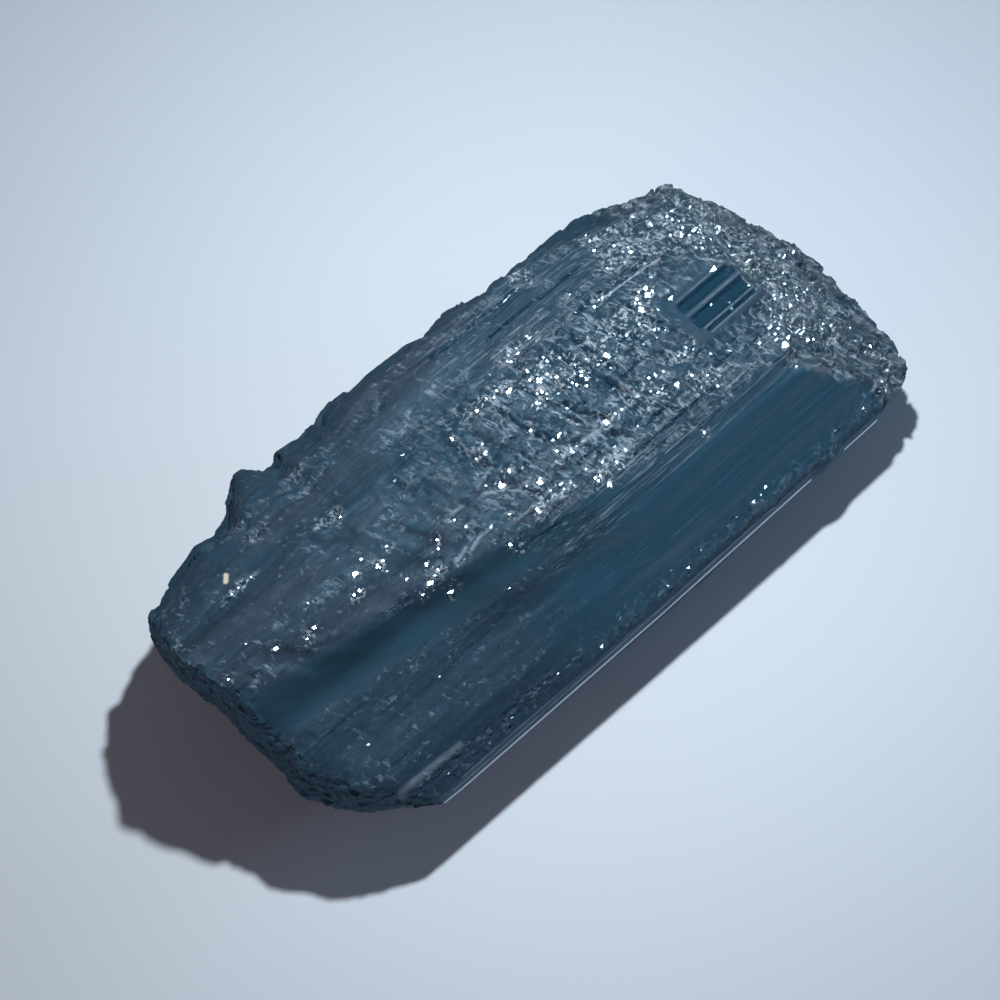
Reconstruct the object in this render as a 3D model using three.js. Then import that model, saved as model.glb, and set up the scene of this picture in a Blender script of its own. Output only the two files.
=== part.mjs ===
// Raw black tourmaline (schorl): one broken, striated prism lying on one of its prism faces.
// Millimetres, +Z up. X runs along the crystal, -Y is the front and +Y the back.
// The long edges of the prism are lofted from end to end, the two ends are broken surfaces,
// and the whole is one closed body with a flat face at Z = 0 to rest on.
import * as THREE from 'three';
import { mergeVertices } from 'three/addons/utils/BufferGeometryUtils.js';

// Driving dimensions
const HALF_LENGTH = 30;        // nominal half length of the prism, before the ends are broken
const STATIONS = 74;           // sections along the prism
const CAP_RINGS = 7;           // rings that close each broken end
const MERGE_DISTANCE = 1e-4;

// Surface relief
const RIB_HEIGHT = 0.26;       // ribs (striations) that run the whole length
const RIB_CHANGE = 9;          // length over which a rib changes its height
const RIB_SPREAD = 1.7;        // how unlike each other neighbouring ribs are
const RIB_SEED = [3, 7];
const RIB_WANDER_SEED = 2;
const PIT_DEPTH = 0.55;        // etched pits on the crown
const PIT_SIZE = 2.1;
const PIT_SEED = 11;
const PITTED_ABOVE = 16.4;
const PITTED_ABOVE_FULLY = 18.4;
const PITTED_FROM_X = -26;     // the pits start here and are at full depth at PITTED_FULLY_X
const PITTED_FULLY_X = -6;
const CHIP_DEPTH = 0.35;       // broken grain of the two ends
const CHIP_SIZE = 2.6;
const CHIP_SEED = 5;
const RELIEF_START = 0.2;      // relief grows between these two heights, so the rest face stays flat
const RELIEF_FLOOR = 1.5;

// Knob on the back edge
const KNOB_X = -17.2;
const KNOB_Z = 13.6;
const KNOB_RADIUS = 1.6;
const KNOB_STRETCH = 1.6;      // the knob is this much taller than it is long
const KNOB_REACH = 1.1;
const BACK_FROM_Y = 6;         // the knob is only on the side behind this

// Steps of the right-hand break
const LEDGE_RISE = 2.9;        // height between two ledges of the break
const LEDGE_SHARPNESS = 0.5;   // 0 is a plain slope, 1 a hard stair
const LEDGE_TREAD = 0.62;      // flat part of a ledge

const STONE_COLOUR = 0x2b3a48;

// The long edges of the prism, in order around the section from the front of the rest face,
// up the front, over the crown and down the back. Each is [x, y, z] at a few stations.
const LONG_EDGES = [
  { name: 'rest face, front', split: 2, line: [[-30, -8.6, 0], [0, -9.8, 0], [30, -9.4, 0]] },
  {
    name: 'lower front face', split: 5,
    line: [[-30, -9.6, 0.7], [0, -10.7, 0.6], [30, -10.3, 0.7]],
  },
  { name: 'strip, foot', split: 2, line: [[-30, -16.0, 7.4], [0, -16.5, 7.2], [30, -16.4, 7.4]] },
  { name: 'strip, head', split: 2, line: [[-30, -16.0, 9.4], [0, -16.5, 9.4], [30, -16.4, 9.5]] },
  {
    name: 'front face, foot', split: 6,
    line: [[-30, -13.3, 12.5], [-12, -13.9, 12.3], [6, -14.9, 11.7], [30, -15.2, 11.3]],
  },
  {
    name: 'front face, ridge', split: 2,
    line: [[-30, -5.9, 15.3], [-15, -6.7, 15.9], [-5, -8.3, 16.8], [6, -9.9, 17.6], [30, -10.4, 17.0]],
  },
  {
    name: 'upper layer, front', split: 6,
    line: [[-30, -3.7, 17.9], [-15, -5.3, 18.6], [-5, -7.0, 18.6], [6, -8.9, 18.3], [30, -9.5, 17.5]],
  },
  { name: 'crown', split: 5, line: [[-30, 1.3, 18.9], [-8, 1.1, 19.8], [12, 0.7, 19.6], [30, 0.2, 18.3]] },
  {
    name: 'back shoulder', split: 4,
    line: [[-30, 5.6, 16.4], [-20, 7.0, 17.2], [-2, 8.6, 17.6], [12, 8.3, 17.2], [30, 6.2, 15.2]],
  },
  {
    name: 'back edge', split: 4,
    line: [
      [-30, 7.6, 12.5], [-23, 9.4, 12.6], [-18, 10.4, 12.6], [-12, 11.0, 12.4], [-5, 11.4, 12.2],
      [2, 11.3, 12.4], [7, 11.3, 12.4], [11, 10.6, 12.4], [19, 10.5, 12.2], [30, 9.0, 11.2],
    ],
  },
  { name: 'back, foot', split: 4, line: [[-30, 6.9, 4.4], [-2, 10.3, 4.2], [30, 7.6, 4.4]] },
  { name: 'rest face, back', split: 3, line: [[-30, 4.4, 0], [-2, 7.2, 0], [30, 4.6, 0]] },
];

// Where the left end is broken off: x across the crystal, from the front to the back.
// 'low' holds at the widest height and 'high' at the crown.
const LEFT_END = {
  low: [[-16.5, -21.6], [-14.4, -24.3], [-11.8, -26.9], [-8, -28.7], [-1, -29.0], [5.5, -29.8], [11.5, -28]],
  high: [[-15, -20.6], [-12.5, -23.2], [-8, -26.2], [-3.8, -28.4], [2, -29.8], [7, -29.4], [11, -27.0]],
};

// Where the right end is broken off. It slopes back to the crown in ledges.
const RIGHT_END = {
  low: [[-16.6, 23.2], [-14.4, 27.9], [-9.2, 28.6], [-2.8, 28.7], [3.8, 26.4], [9, 23.4], [12.2, 20.4]],
  high: [[-16, 15.2], [-10.5, 16.2], [-5, 17.0], [0, 18.2], [5, 19.6], [9, 19.8], [12, 17.8]],
};
const END_LOW_Z = 8;
const END_HIGH_Z = 18.4;
const END_RISE_LIMIT = 1.15;   // an end keeps its slope a little above END_HIGH_Z
const UNDERCUT = 0.4;          // how much the ends draw in below END_LOW_Z, per mm of height

const clamp = THREE.MathUtils.clamp;
const lerp = THREE.MathUtils.lerp;
const smoothstep = THREE.MathUtils.smoothstep;

// Value of a hand-set line [key, values...] at a key, eased between its points.
function along(line, key) {
  const last = line.length - 1;
  let i = 0;
  while (i < last - 1 && key > line[i + 1][0]) i += 1;
  const t = smoothstep(key, line[i][0], line[i + 1][0]);
  return line[i].slice(1).map((value, k) => lerp(value, line[i + 1][k + 1], t));
}

// Seeded noise from -1 to 1, smooth between whole-number cells.
function cell(i, j, k) {
  const s = Math.sin(i * 127.1 + j * 311.7 + k * 74.7 + 19.3) * 43758.5453;
  return 2 * (s - Math.floor(s)) - 1;
}

function noise(x, y, z) {
  const base = [x, y, z].map(Math.floor);
  const ease = [x - base[0], y - base[1], z - base[2]].map((t) => t * t * (3 - 2 * t));
  let sum = 0;
  for (let corner = 0; corner < 8; corner += 1) {
    const step = [corner & 1, (corner >> 1) & 1, (corner >> 2) & 1];
    const weight = step.reduce((w, s, k) => w * (s ? ease[k] : 1 - ease[k]), 1);
    sum += weight * cell(base[0] + step[0], base[1] + step[1], base[2] + step[2]);
  }
  return sum;
}

// A ramp from 0 to 1 that climbs in ledges.
function ledged(t, count) {
  const step = Math.floor(t * count);
  const inside = t * count - step;
  const stair = (step + smoothstep(inside, LEDGE_TREAD, 1)) / count;
  return lerp(t, stair, LEDGE_SHARPNESS);
}

// x of a broken end over a point of the section.
function brokenEnd(end, y, z, stepped) {
  const low = along(end.low, y)[0];
  const high = along(end.high, y)[0];
  let rise = clamp((z - END_LOW_Z) / (END_HIGH_Z - END_LOW_Z), 0, END_RISE_LIMIT);
  if (stepped) rise = ledged(rise, Math.round((END_HIGH_Z - END_LOW_Z) / LEDGE_RISE));
  const drawnIn = UNDERCUT * Math.max(0, END_LOW_Z - z) * Math.sign(low);
  const grain = CHIP_DEPTH * noise(y / CHIP_SIZE, z / CHIP_SIZE, Math.sign(low) * CHIP_SEED);
  return lerp(low, high, rise) - drawnIn + grain * smoothstep(z, 0, RELIEF_FLOOR);
}

// The section at a station: points around the prism, with ribs and pits laid on.
function section(x) {
  const corners = LONG_EDGES.map((edge) => along(edge.line, x));
  const flat = [];
  LONG_EDGES.forEach((edge, k) => {
    const from = corners[k];
    const to = corners[(k + 1) % corners.length];
    for (let i = 0; i < edge.split; i += 1) {
      const t = i / edge.split;
      flat.push({ y: lerp(from[0], to[0], t), z: lerp(from[1], to[1], t) });
    }
  });
  return flat.map((point, i) => {
    const before = flat[(i + flat.length - 1) % flat.length];
    const after = flat[(i + 1) % flat.length];
    const normal = new THREE.Vector2(-(after.z - before.z), after.y - before.y).normalize();
    const lift = smoothstep(point.z, RELIEF_START, RELIEF_FLOOR);
    const wander = noise(x / RIB_CHANGE, i * RIB_SPREAD, RIB_WANDER_SEED);
    const rib = RIB_HEIGHT * (cell(i, ...RIB_SEED) + wander / 2);
    const high = smoothstep(point.z, PITTED_ABOVE, PITTED_ABOVE_FULLY);
    const onCrown = high * smoothstep(x, PITTED_FROM_X, PITTED_FULLY_X);
    const pit = -PIT_DEPTH * onCrown * Math.abs(noise(x / PIT_SIZE, point.y / PIT_SIZE, PIT_SEED));
    const fromKnob = Math.hypot(x - KNOB_X, (point.z - KNOB_Z) / KNOB_STRETCH) / KNOB_RADIUS;
    const knob = point.y > BACK_FROM_Y ? KNOB_REACH * Math.exp(-fromKnob * fromKnob) : 0;
    const out = lift * (rib + pit + knob);
    return { y: point.y + normal.x * out, z: point.z + normal.y * out };
  });
}

function buildCrystal() {
  const rings = [];
  for (let s = 0; s <= STATIONS; s += 1) {
    const t = s / STATIONS;
    const ring = section(lerp(-HALF_LENGTH, HALF_LENGTH, t));
    rings.push(ring.map(({ y, z }) => {
      const left = brokenEnd(LEFT_END, y, z, false);
      const right = brokenEnd(RIGHT_END, y, z, true);
      return new THREE.Vector3(lerp(left, right, t), y, z);
    }));
  }

  // Rings that shrink to the middle of an end and lie on its broken surface.
  const capRings = (ring, end, stepped) => {
    const middle = ring.reduce((sum, p) => sum.add(p), new THREE.Vector3()).divideScalar(ring.length);
    const inner = [];
    for (let c = 1; c <= CAP_RINGS; c += 1) {
      const shrink = 1 - c / (CAP_RINGS + 1);
      inner.push(ring.map((p) => {
        const y = lerp(middle.y, p.y, shrink);
        const z = lerp(middle.z, p.z, shrink);
        return new THREE.Vector3(brokenEnd(end, y, z, stepped), y, z);
      }));
    }
    const tip = new THREE.Vector3(brokenEnd(end, middle.y, middle.z, stepped), middle.y, middle.z);
    return { inner, tip };
  };
  const leftCap = capRings(rings[0], LEFT_END, false);
  const rightCap = capRings(rings[STATIONS], RIGHT_END, true);
  const skin = [...leftCap.inner.reverse(), ...rings, ...rightCap.inner];

  const positions = [];
  const addTriangle = (...corners) => corners.forEach((p) => positions.push(p.x, p.y, p.z));
  const count = rings[0].length;
  for (let r = 0; r < skin.length - 1; r += 1) {
    for (let i = 0; i < count; i += 1) {
      const j = (i + 1) % count;
      addTriangle(skin[r][i], skin[r + 1][i], skin[r + 1][j]);
      addTriangle(skin[r][i], skin[r + 1][j], skin[r][j]);
    }
  }
  const lastRing = skin[skin.length - 1];
  for (let i = 0; i < count; i += 1) {
    const j = (i + 1) % count;
    addTriangle(leftCap.tip, skin[0][i], skin[0][j]);
    addTriangle(rightCap.tip, lastRing[j], lastRing[i]);
  }

  const soup = new THREE.BufferGeometry();
  soup.setAttribute('position', new THREE.Float32BufferAttribute(positions, 3));
  const geometry = mergeVertices(soup, MERGE_DISTANCE);
  geometry.computeBoundingBox();
  const { min, max } = geometry.boundingBox;
  geometry.translate(-(min.x + max.x) / 2, -(min.y + max.y) / 2, -min.z);
  geometry.computeVertexNormals();
  return geometry;
}

const stone = new THREE.MeshStandardMaterial({ color: STONE_COLOUR, roughness: 0.42, metalness: 0 });
const crystal = new THREE.Mesh(buildCrystal(), stone);
crystal.name = 'tourmaline_crystal';

const group = new THREE.Group();
group.add(crystal);

export default group;
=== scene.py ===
import math
from itertools import product

import bpy
import numpy as np
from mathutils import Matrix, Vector
from mathutils.kdtree import KDTree


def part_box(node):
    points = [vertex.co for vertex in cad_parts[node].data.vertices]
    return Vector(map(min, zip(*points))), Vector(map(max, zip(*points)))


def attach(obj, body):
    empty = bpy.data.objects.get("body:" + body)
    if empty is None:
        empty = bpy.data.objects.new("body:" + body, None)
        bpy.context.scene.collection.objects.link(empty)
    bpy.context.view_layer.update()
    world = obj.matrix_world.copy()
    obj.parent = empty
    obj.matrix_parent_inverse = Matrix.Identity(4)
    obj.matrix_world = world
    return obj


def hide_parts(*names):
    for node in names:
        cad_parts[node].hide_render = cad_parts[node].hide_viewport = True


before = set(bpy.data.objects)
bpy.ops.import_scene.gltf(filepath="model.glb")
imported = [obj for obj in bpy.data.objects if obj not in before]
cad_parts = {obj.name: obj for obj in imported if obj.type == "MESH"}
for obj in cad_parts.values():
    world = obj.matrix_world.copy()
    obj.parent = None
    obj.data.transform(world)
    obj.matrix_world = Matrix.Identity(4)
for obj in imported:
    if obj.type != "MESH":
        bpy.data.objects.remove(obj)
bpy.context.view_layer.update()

NODE = "tourmaline_crystal"
BOX_LOW, BOX_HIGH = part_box(NODE)
MM = 0.001

# ---------------------------------------------------------------- the stone's own layout
# Millimetres from the middle of the rest face. X runs along the prism to the right end,
# Y runs to the back and Z up. A line is a list of (x, y) points over the crown.

VOXEL = 0.16                 # grain of the carved mesh
TRIANGLE_LIMIT = 196_000     # the most triangles that the finished stone is thinned to
SHARP_EDGE = math.radians(30)
TOP_SIDE = (8.5, 10.0)       # features of the top side fade out between these heights
EVEN_SHARE = 0.6             # how strongly each round evens the mesh
EVEN_ROUNDS = 45             # how often the faces are evened before the relief is laid on
SOFT_ROUNDS = 190            # how often the upper layer's edge and the left end are evened

# How readily the mesh is thinned anywhere, how much more so on the underside and on the face
# that the stone rests on, the heights where those two start and end, and how much it counts
THIN_ANYWHERE = 0.1
THIN_UNDERSIDE = 0.4
THIN_REST_FACE = 0.5
UNDERSIDE = (8.0, 6.0)
REST_FACE = (0.6, 0.2)
THIN_PREFERENCE = 2.0

# Corners nearer than this are welded, and the remeshed skin is eased by this much, this often
WELD = 0.002
EASE = 0.5
EASE_ROUNDS = 4

# Height and steepness at which the side faces turn into the crown
CROWN_HEIGHT = (13.6, 15.8)
CROWN_SLOPE = (0.15, 0.50)

# Height bands of the narrow strip and of the pitted row above it, along the front edge
STRIP_BAND = (6.9, 7.4, 9.2, 9.5)
TICKS_BAND = (9.4, 9.8, 11.0, 11.6)

# Front edge of the upper layer, which runs slantwise over the crown, and how wide the groove below it
# is, where shade is painted dark
LAYER_EDGE = [(-30, -1.1), (-24, -1.5), (-15, -3.3), (-5.5, -5), (1.6, -6.4), (8, -7.2), (30, -7.6)]
GROOVE_WIDTH = [(-30, 2.2), (-24, 2.3), (-15, 2.0), (-5.5, 1.4), (2, 0.7), (9, 0.3), (30, 0.2)]

# Where the right-hand break begins: (y, x) points from the front to the back
BREAK_EDGE = [
    (-14, 24.0), (-12, 23.0), (-10.7, 21.5), (-9.2, 19.5), (-7.6, 17.8), (-6, 19.6),
    (-3, 20.9), (0, 21.1), (3, 21.2), (7, 20.6), (11, 18.6),
]

# Smooth flutes near the right end: left end, right end, y, width, depth
FLUTES = [
    (14.4, 19.6, 0.16, 0.95, 0.34),
    (14.5, 19.7, -1.35, 1.20, 0.36),
    (14.8, 19.5, -2.35, 0.40, 0.22),
    (8.4, 11.3, 5.05, 0.70, 0.34),
    (12.6, 16.2, 5.05, 0.75, 0.36),
    (2.4, 11.6, 7.95, 0.30, 0.24),
    (-1.5, 7.4, 9.55, 0.55, 0.22),
    (6.0, 15.0, -4.6, 0.30, 0.20),
    (3.0, 13.5, -5.7, 0.35, 0.22),
]
FLUTE_BLOCK = ((13.9, -2.8), (19.8, 1.0), 18.25)   # the level block that the first three are in

# Slanting furrows in the middle of the crown: line, width, depth
FURROWS = [
    ([(5.1, 3.5), (5.8, 0.7), (6.8, -2.3)], 0.95, 0.36),
    ([(6.7, 3.7), (7.1, 1), (7.9, -2.1)], 0.70, 0.30),
    ([(8.8, 3.1), (9.4, 1.6), (10.5, -0.1)], 1.00, 0.34),
    ([(1.8, 0.9), (2.2, -0.7), (3.2, -2.1)], 0.65, 0.32),
    ([(3.0, 0.1), (3.4, -1.2), (4.4, -2.4)], 0.50, 0.40),
    ([(11.5, 3), (11.9, 1), (12.8, -0.8)], 0.55, 0.40),
    ([(-0.9, 2.7), (-0.6, 1), (0.4, -1.2)], 0.50, 0.35),
    ([(15.8, 8.8), (16.6, 7.9), (17.9, 7.5)], 0.50, 0.35),
]

# Shallow hollows on the left of the crown: line, width, depth
HOLLOWS = [
    ([(-5.9, 3.9), (-5.4, 2.2), (-4.7, 0.9)], 2.0, 0.34),
    ([(-10.5, 3.8), (-10.0, 2.4), (-9.2, 1.5)], 1.7, 0.28),
    ([(-12.4, 1.0), (-11.7, -0.2), (-10.6, -1.5)], 1.6, 0.28),
    ([(-8.6, 2.0), (-8.2, 0.2), (-7.2, -1.4)], 1.3, 0.24),
    ([(-17.2, 4.4), (-16.4, 3.0), (-15.6, 2.4)], 1.6, 0.20),
    ([(-24.6, 0.2), (-23.4, -0.6), (-22.4, -1.8)], 1.8, 0.26),
    ([(-27.5, 2.8), (-15.0, 2.7)], 1.8, 0.16),
    ([(-24.5, 4.3), (-12.0, 3.6)], 1.2, 0.12),
]

# Parallel ridges where the smooth front face ends at the right-hand break
END_RIDGE = [(17.5, -7.7), (20.2, -9.8), (22.9, -11.7)]
END_RIDGE_STEP = (0.75, 0.42)
END_RIDGE_SIZE = (0.50, 0.17)    # width and depth of the furrows between them
END_RIDGES = 5

# How the back edge steps in and out, beside and at the knob: x, half width, shift in y
BACK_STEPS = [
    (-20.6, 2.4, -0.50),
    (-17.5, 2.5, 0.62),
    (-14.6, 1.2, -0.40),
    (-10.6, 3.2, -0.45),
    (1.0, 1.8, -0.25),
]
# How far the left end swells out low at the front: y, half width, shift in x
LEFT_SWELL = (-7.8, 4.2, -0.75)

# The narrow upright strip along the front edge is straight: (x, y) of its face at its foot,
# the height of that foot, and how far it leans back for each mm up
FOOT_STRIP = [(-30, -13.45), (0, -13.85), (30, -13.80)]
FOOT_HEIGHT = 7.4
FOOT_LEAN = 0.14

# Small bulges on the front edge: place, radius, rise
FOOT_BULGES = [((17.7, -13.7, 8.6), 1.9, 0.45), ((12.2, -13.8, 9.0), 0.7, 0.18)]

# Raised edges, with a painted highlight in pale laid along them: line, width, rise
RIDGES = [
    ([(-10.5, -3.3), (-9.3, -3.0)], 0.42, 0.10),
    ([(-9.3, -3.4), (-8.2, -3.1), (-7.0, -3.1)], 0.40, 0.12),
    ([(-9.2, -0.8), (-7.6, -0.7)], 0.34, 0.06),
    ([(-4.1, -2.2), (-3.2, -2.3), (-2.2, -2.8)], 0.40, 0.12),
    ([(-5.6, -3.9), (-2.3, -3.8)], 0.32, 0.10),
    ([(-2.6, -4.5), (-0.6, -4.3)], 0.32, 0.10),
    ([(-0.9, -2.7), (5.1, -2.8)], 0.28, 0.08),
    ([(-5.9, -0.5), (-4.9, -0.1)], 0.40, 0.12),
    ([(1.8, 1.1), (2.5, -1.3), (3.5, -2.3)], 0.30, 0.12),
    ([(-6.0, -1.0), (-4.1, -1.7)], 0.36, 0.06),
    ([(21.7, 7.0), (22.5, 5.7), (22.0, 3.9), (22.0, 1.7), (21.9, 0.8)], 0.42, 0.12),
    ([(18.6, 2.0), (19.7, 0.4), (21.0, -0.9), (21.1, -1.9)], 0.37, 0.11),
    ([(18.7, 10.5), (18.2, 9.0), (19.0, 8.7)], 0.42, 0.09),
    ([(24.5, 3.9), (25.2, 1.6), (27.2, 0.7)], 0.42, 0.12),
    ([(21.8, -4.8), (23.2, -6.1), (23.4, -7.0)], 0.47, 0.12),
    ([(18.0, -7.6), (19.6, -9.2), (22.0, -10.7)], 0.36, 0.05),
    ([(18.9, -8.6), (20.8, -10.0), (22.3, -11.0)], 0.36, 0.05),
    ([(24.2, -8.6), (24.8, -9.8)], 0.37, 0.11),
    ([(26.6, -6.3), (27.1, -7.6)], 0.37, 0.11),
    ([(23.3, -12.4), (25.6, -12.0)], 0.42, 0.09),
    ([(23.6, -13.3), (25.8, -13.0)], 0.51, 0.09),
]

# Relief laid over each zone of the skin: zone, pattern, depth
RELIEF = [
    ("all", "broad", 0.10),
    ("crown", "waves", 0.10),
    ("crown", "plates", 0.07),
    ("crown", "slips", 0.04),
    ("crown", "ribs", 0.03),
    ("crown", "crests", 0.03),
    ("crown", "dust", 0.05),
    ("block", "dust", -0.05),
    ("block", "plates", -0.07),
    ("striae", "lines", 0.12),
    ("rough", "grit", 0.13),
    ("rough", "slips", 0.08),
    ("rough", "dust", 0.06),
    ("middle", "cracks", -0.20),
    ("middle", "grit", 0.10),
    ("groove", "ripples", 0.05),
    ("mottled", "plates", 0.07),
    ("mottled", "slips", 0.04),
    ("mottled", "ribs", 0.05),
    ("mottled", "dust", 0.05),
    ("smooth", "silk", 0.012),
    ("ticks", "grit", 0.14),
    ("ticks", "dust", 0.16),
    ("back", "slabs", 0.40),
    ("back", "ribs", 0.14),
    ("back", "dust", 0.12),
    ("under", "long_slabs", 0.30),
    ("under", "ribs", 0.12),
]

# Relief of the broken ends: pattern, depth, and how much of it each end has
BREAK_RELIEF = [("shells", 0.52), ("ledges", 0.55), ("grit", 0.40), ("dust", 0.25)]
BREAK_SHARES = [("right_break", 1.0), ("left_break", 0.60)]

# A facet has at least this many corners, fills hollows below it by this share, is flat out to
# this share of its radius, and fades out over the rest
FEWEST_CORNERS = 4
FILL = 0.35
FLAT_SHARE = 0.78
FADE_SHARE = 0.22

# Small flat facets broken into a zone: zone, how many, radius (least, most), lean, bite, seed
CHIPS = [
    ("right_break", 300, (0.4, 1.4), 0.30, 0.10, 3),
    ("left_break", 90, (0.3, 0.7), 0.18, 0.05, 4),
    ("rough", 260, (0.22, 0.50), 0.20, 0.06, 5),
    ("middle", 160, (0.22, 0.60), 0.22, 0.07, 6),
    ("back", 300, (0.4, 1.1), 0.22, 0.08, 8),
]

# The brightest mirror-like facets: (x, y) places for each radius
GLINTS = {
    0.22: [
        (0.7, 3.4), (2.7, 2.6), (4.5, 0.9), (-4.4, -1.3), (-2.3, -2.8), (-6.8, -4.8), (-3.7, -4.2),
        (13.8, 3.0), (13.4, 2.5), (12.2, 1.9), (7.6, 0.8), (18.4, -6.7), (-23.6, 0.4), (-12.7, -3.15),
        (-16.3, 0.5), (-11.8, -4.2),
    ],
    0.13: [
        (-14.4, 4.2), (-27.4, 0.9), (-21.6, -0.6), (-20.7, -0.3), (-17.3, -0.6), (-16.7, -0.6),
        (-15.4, 1.0), (-14.8, -0.15), (-14.3, -0.1), (-13.5, 0.4), (-10.8, -1.75), (-10.4, -1.3),
        (-12.0, -2.1), (-11.6, -2.8), (-13.5, -3.25), (-8.7, -1.1), (-13.8, -1.9), (-4.9, 3.4),
        (-2.1, 3.8), (-0.9, 4.2), (0.1, 4.2), (2.5, 5.4), (3.3, 5.5), (2.2, 3.0), (2.2, 1.8), (1.5, 1.4),
        (3.8, 1.9), (4.7, 0.7), (5.2, 0.3), (2.9, -0.2), (-0.2, 0.3), (-7.1, -3.1), (-5.4, -3.2),
        (0.1, -2.1), (1.2, -1.4), (1.0, -5.1), (1.0, -5.5), (2.9, -5.3), (5.1, -2.8), (14.2, 10.8),
        (13.6, 8.3), (9.5, 6.5), (9.9, 4.5), (14.8, 3.5), (18.4, 0.9), (6.5, 1.6), (11.8, 0.1),
        (8.9, -2.3), (9.5, -2.4), (11.6, -4.0), (19.9, 6.9), (19.8, 6.4), (18.8, 5.4), (20.4, 4.6),
        (19.2, 2.7), (20.7, 3.2), (26.1, 3.4), (22.2, -0.2), (27.8, 0.2), (26.2, -1.2), (24.4, -2.9),
        (12.5, -5.7), (17.2, -5.3), (18.8, -4.9), (19.0, -5.4), (20.5, -5.8), (20.9, -7.0), (21.5, -6.2),
        (9.5, -7.6), (18.3, -8.3), (25.0, -8.7), (26.0, -9.7), (22.0, -12.9),
    ],
}

# How they vary: share of the full radius and shine (least, most), and lean away from a mirror
GLINT_RANGE = (0.7, 1.0)
GLINT_LEAN = 0.012

# Smaller ones in clusters: how far they lean away from a mirror, their radii, how common each
# radius is, how they shine (least, most), how far out they lie in their cluster, how near to
# facing the lamp and the eye a face must be, and the height below which there are none
SPARK_LEANS = (0.02, 0.06, 0.11)
SPARK_SIZES = (0.04, 0.12, 0.17)
SPARK_SHARES = (0.70, 0.22, 0.08)
SPARK_SHINE = (0.3, 1.0)
SPARK_REACH = 1.6
SPARK_ABLE = 0.60
SPARK_FLOOR = 9.7

# The clusters: x, y, half length, half width, how many. Wider ones don't roughen the skin.
WIDE_CLUSTER = 4
SPARKS = [
    (-22.7, 5.4, 1.1, 0.12, 7), (-19.6, 7.7, 0.4, 0.2, 2), (-28.4, 5.3, 0.2, 0.2, 1),
    (-14.5, 4.8, 0.3, 0.2, 3), (-15.3, 4.9, 0.6, 0.4, 3), (-19.8, 0.95, 0.4, 0.15, 2),
    (-11.8, -3.0, 0.6, 0.2, 3), (-10.1, -3.3, 0.4, 0.2, 2), (-11.5, -4.2, 0.5, 0.15, 2),
    (-6.0, -5.2, 0.5, 0.2, 3), (-4.0, -0.9, 0.6, 0.2, 4), (-2.2, -4.1, 1.0, 0.3, 6),
    (-1.0, -4.5, 0.6, 0.2, 4), (-4.1, 1.5, 0.4, 0.6, 5), (-0.8, 4.2, 2.0, 0.4, 8),
    (2.8, 5.9, 0.8, 0.4, 6), (5.0, 5.7, 0.3, 0.4, 3), (2.6, 3.2, 1.4, 0.9, 12),
    (1.8, 1.5, 1.0, 0.4, 6), (4.6, 1.1, 0.8, 0.8, 7), (0.5, -2.7, 1.6, 0.15, 6),
    (4.6, -2.8, 1.0, 0.2, 6), (7.0, -2.4, 1.2, 0.3, 8), (2.6, -5.2, 1.6, 0.6, 8),
    (1.8, -6.2, 0.5, 0.2, 4), (13.2, 2.6, 0.9, 0.7, 8), (11.0, 1.4, 1.5, 1.5, 8),
    (12.8, -2.5, 1.4, 0.3, 6), (8.8, -3.8, 1.6, 0.3, 5), (12.2, -5.0, 1.6, 0.5, 8),
    (7.9, 10.2, 0.6, 0.8, 4), (14.6, 9.3, 1.3, 0.9, 8), (14.2, 6.5, 1.6, 0.5, 6),
    (10.9, 4.7, 1.0, 0.15, 6), (8.0, 1.6, 1.6, 1.2, 8), (5.2, 2.4, 0.6, 1.6, 6),
    (19.4, 4.4, 0.9, 1.8, 20), (20.2, 6.0, 0.5, 1.0, 6), (19.2, -5.4, 0.9, 0.9, 20),
    (20.8, -4.0, 1.4, 1.4, 6), (24.7, -2.8, 1.6, 1.6, 7), (26.4, 1.2, 0.8, 2.0, 7),
    (23.0, -7.4, 1.4, 1.0, 5), (26.0, -10.6, 0.8, 1.0, 6), (24.8, -12.6, 1.2, 0.5, 6),
    (0.0, 0.6, 12.0, 4.4, 26), (10.0, -1.0, 8.0, 4.0, 20), (-16.0, 3.0, 10.0, 4.0, 5),
    (23.0, 0.0, 3.5, 8.0, 60), (-4.0, -12.6, 14.0, 0.4, 22), (-14.0, -6.2, 12.0, 2.0, 3),
    (17.0, 7.0, 3.0, 2.6, 14),
]

# Patches of pale wisps on the left: x, y, half length, half width
WISPY = [
    (-25.5, -0.4, 1.0, 0.3), (-20.1, -2.6, 1.1, 0.3), (-18.8, 0.9, 1.6, 0.3), (-15.4, -2.9, 1.4, 0.3),
    (-8.6, -0.9, 1.2, 0.7), (-8.5, -2.1, 1.2, 0.6), (-15.1, 4.1, 0.9, 0.4), (-11.5, 2.2, 0.6, 0.5),
    (-9.3, 2.7, 1.2, 1.0), (-22.3, 1.4, 0.6, 0.2), (-16.0, 0.4, 1.6, 0.4), (-22.8, 5.4, 1.2, 0.2),
    (-20.4, 9.6, 2.2, 0.6), (-26.5, 8.2, 1.4, 0.8), (-19.0, 7.6, 0.9, 0.3), (-14.0, 9.0, 3.0, 1.2),
    (-6.5, 6.2, 2.2, 1.4), (-7.5, 9.4, 1.8, 0.8), (3.0, 10.3, 4.5, 0.6), (12.0, 10.0, 3.5, 0.8),
    (9.0, 6.4, 3.5, 0.6), (-1.5, 7.2, 2.5, 1.0), (17.0, 8.2, 2.0, 1.2),
]


# ---------------------------------------------------------------- noise and facets


def ramp(value, low, high):
    """0 at low, 1 at high, smooth between."""
    t = np.clip((value - low) / (high - low), 0.0, 1.0)
    return t * t * (3.0 - 2.0 * t)


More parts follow.
